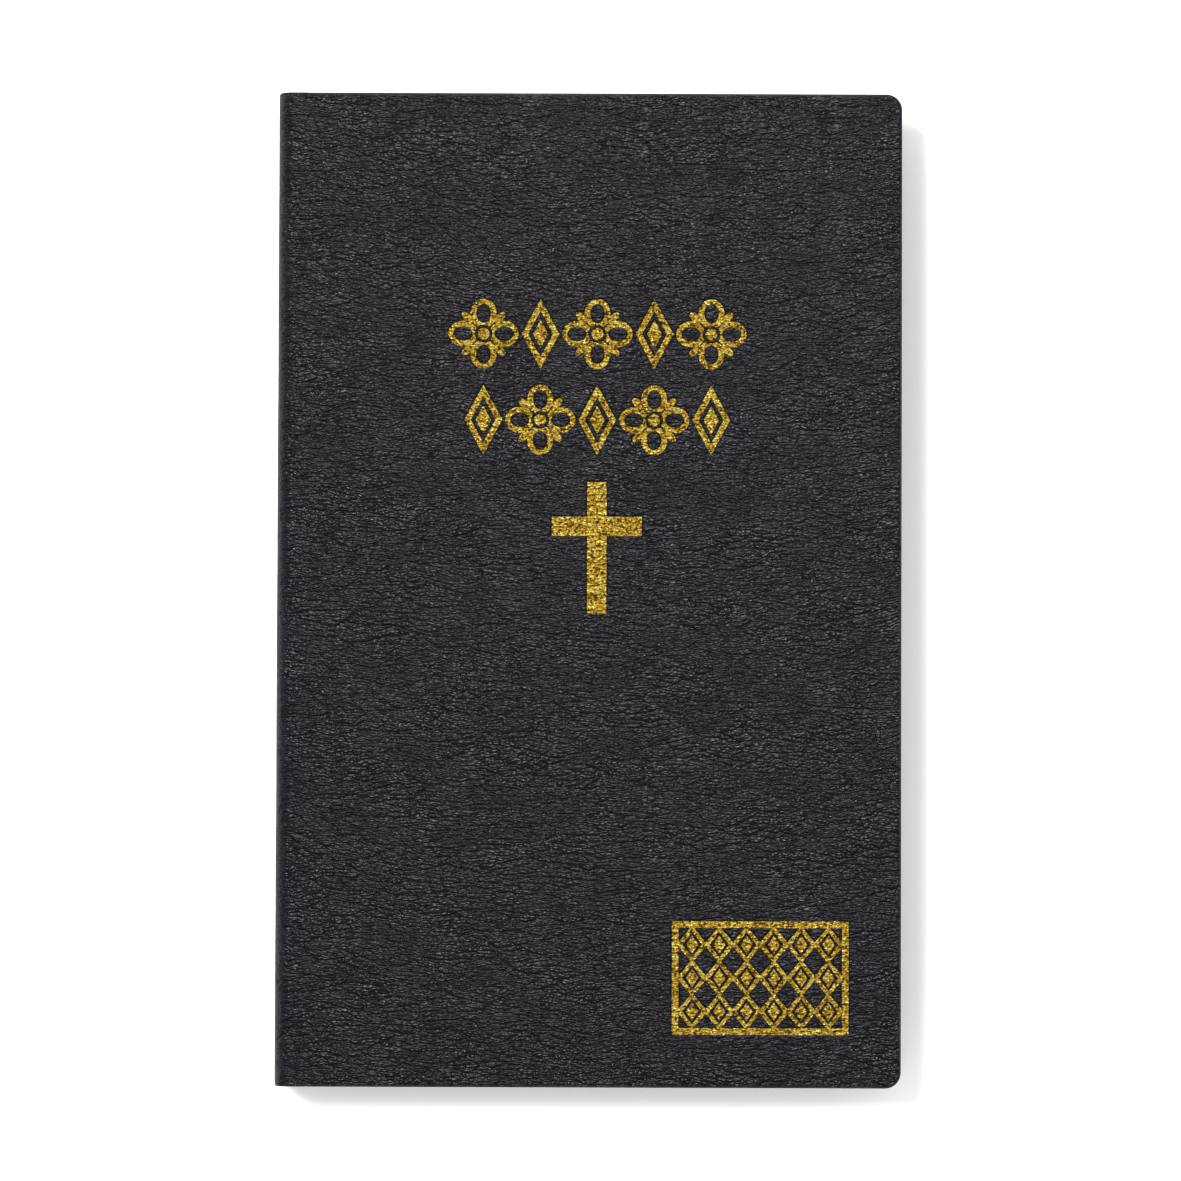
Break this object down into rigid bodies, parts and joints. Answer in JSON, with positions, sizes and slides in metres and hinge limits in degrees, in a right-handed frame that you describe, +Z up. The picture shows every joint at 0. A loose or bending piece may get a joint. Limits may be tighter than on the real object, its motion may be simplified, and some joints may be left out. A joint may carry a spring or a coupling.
{
  "type": "bible",
  "caption": "Closed thin bible bound in black grained leather, with gilt cross and tooling; covers, flyleaves and text block open like a book.",
  "frame": {"origin": "centre of the back cover's outer face, which the book lies on", "axes": "+X from the spine to the fore-edge, +Y from the tail to the head, +Z up through the front cover"},
  "size_m": [0.1324, 0.211, 0.021],
  "materials": {
    "black_leather": "satin",
    "gold_foil": "satin",
    "bible_paper": "matte",
    "endpaper": "matte",
    "board": "matte",
    "binding_cloth": "matte",
    "thread": "satin"
  },
  "bodies": {
    "rear_block": {"spine_leather_rear": "black_leather", "spine_liner_rear": "board", "spine_lining_rear": "endpaper", "mull_rear": "binding_cloth", "headband_head_rear": "thread", "headband_tail_rear": "thread", "sewing_thread_rear": "thread", "back_guard": "binding_cloth", "section_11": "bible_paper", "section_12": "bible_paper", "section_13": "bible_paper", "section_14": "bible_paper", "section_15": "bible_paper", "section_16": "bible_paper", "section_17": "bible_paper", "section_18": "bible_paper", "section_19": "bible_paper", "section_20": "bible_paper"},
    "front_block": {"spine_leather_front": "black_leather", "spine_liner_front": "board", "spine_lining_front": "endpaper", "mull_front": "binding_cloth", "headband_head_front": "thread", "headband_tail_front": "thread", "sewing_thread_front": "thread", "front_guard": "binding_cloth", "section_01": "bible_paper", "section_02": "bible_paper", "section_03": "bible_paper", "section_04": "bible_paper", "section_05": "bible_paper", "section_06": "bible_paper", "section_07": "bible_paper", "section_08": "bible_paper", "section_09": "bible_paper", "section_10": "bible_paper"},
    "front_cover": {"front_cover_leather": "black_leather", "front_cover_board": "board", "front_infill_card": "board", "front_pastedown": "endpaper", "cross_foil": "gold_foil", "upper_ornament_foil": "gold_foil", "lower_ornament_foil": "gold_foil", "corner_panel_foil": "gold_foil"},
    "back_cover": {"back_cover_leather": "black_leather", "back_cover_board": "board", "back_infill_card": "board", "back_pastedown": "endpaper"},
    "front_flyleaf": {"front_flyleaf": "endpaper"},
    "back_flyleaf": {"back_flyleaf": "endpaper"},
    "front_leaf_1": {"middle_leaf_front_1": "bible_paper"},
    "rear_leaf_1": {"middle_leaf_rear_1": "bible_paper"},
    "front_leaf_2": {"middle_leaf_front_2": "bible_paper"},
    "rear_leaf_2": {"middle_leaf_rear_2": "bible_paper"},
    "front_leaf_3": {"middle_leaf_front_3": "bible_paper"},
    "rear_leaf_3": {"middle_leaf_rear_3": "bible_paper"}
  },
  "joints": [
    {"name": "book_opening", "type": "hinge", "parent": "rear_block", "child": "front_block", "pos_m": [-0.06645, 0, 0.0105], "axis": [0, 1, 0], "range_deg": [-178, 0]},
    {"name": "front_cover_hinge", "type": "hinge", "parent": "front_block", "child": "front_cover", "pos_m": [-0.06075, 0, 0.0227], "axis": [0, 1, 0], "range_deg": [-178, 0]},
    {"name": "back_cover_hinge", "type": "hinge", "parent": "rear_block", "child": "back_cover", "pos_m": [-0.06075, 0, -0.00015], "axis": [0, 1, 0], "range_deg": [0, 178]},
    {"name": "front_flyleaf_lift", "type": "hinge", "parent": "front_block", "child": "front_flyleaf", "pos_m": [-0.05975, 0, 0.01892], "axis": [0, 1, 0], "range_deg": [-4, 0]},
    {"name": "back_flyleaf_lift", "type": "hinge", "parent": "rear_block", "child": "back_flyleaf", "pos_m": [-0.05975, 0, 0.00208], "axis": [0, 1, 0], "range_deg": [0, 4]},
    {"name": "front_leaf_1_lift", "type": "hinge", "parent": "front_block", "child": "front_leaf_1", "pos_m": [-0.06415, 0, 0.01081], "axis": [0, 1, 0], "range_deg": [0, 14]},
    {"name": "rear_leaf_1_lift", "type": "hinge", "parent": "rear_block", "child": "rear_leaf_1", "pos_m": [-0.06415, 0, 0.01018], "axis": [0, 1, 0], "range_deg": [-14, 0]},
    {"name": "front_leaf_2_lift", "type": "hinge", "parent": "front_block", "child": "front_leaf_2", "pos_m": [-0.06415, 0, 0.01066], "axis": [0, 1, 0], "range_deg": [0, 14]},
    {"name": "rear_leaf_2_lift", "type": "hinge", "parent": "rear_block", "child": "rear_leaf_2", "pos_m": [-0.06415, 0, 0.01034], "axis": [0, 1, 0], "range_deg": [-14, 0]},
    {"name": "front_leaf_3_lift", "type": "hinge", "parent": "front_block", "child": "front_leaf_3", "pos_m": [-0.06415, 0, 0.01052], "axis": [0, 1, 0], "range_deg": [0, 14]},
    {"name": "rear_leaf_3_lift", "type": "hinge", "parent": "rear_block", "child": "rear_leaf_3", "pos_m": [-0.06415, 0, 0.01048], "axis": [0, 1, 0], "range_deg": [-14, 0]}
  ],
  "couplings": [
    {"joint": "front_flyleaf_lift", "follows": "front_cover_hinge", "ratio": 0.022},
    {"joint": "back_flyleaf_lift", "follows": "back_cover_hinge", "ratio": 0.022},
    {"joint": "front_leaf_1_lift", "follows": "book_opening", "ratio": -0.02},
    {"joint": "rear_leaf_1_lift", "follows": "book_opening", "ratio": 0.02},
    {"joint": "front_leaf_2_lift", "follows": "book_opening", "ratio": -0.045},
    {"joint": "rear_leaf_2_lift", "follows": "book_opening", "ratio": 0.045},
    {"joint": "front_leaf_3_lift", "follows": "book_opening", "ratio": -0.078},
    {"joint": "rear_leaf_3_lift", "follows": "book_opening", "ratio": 0.078}
  ]
}
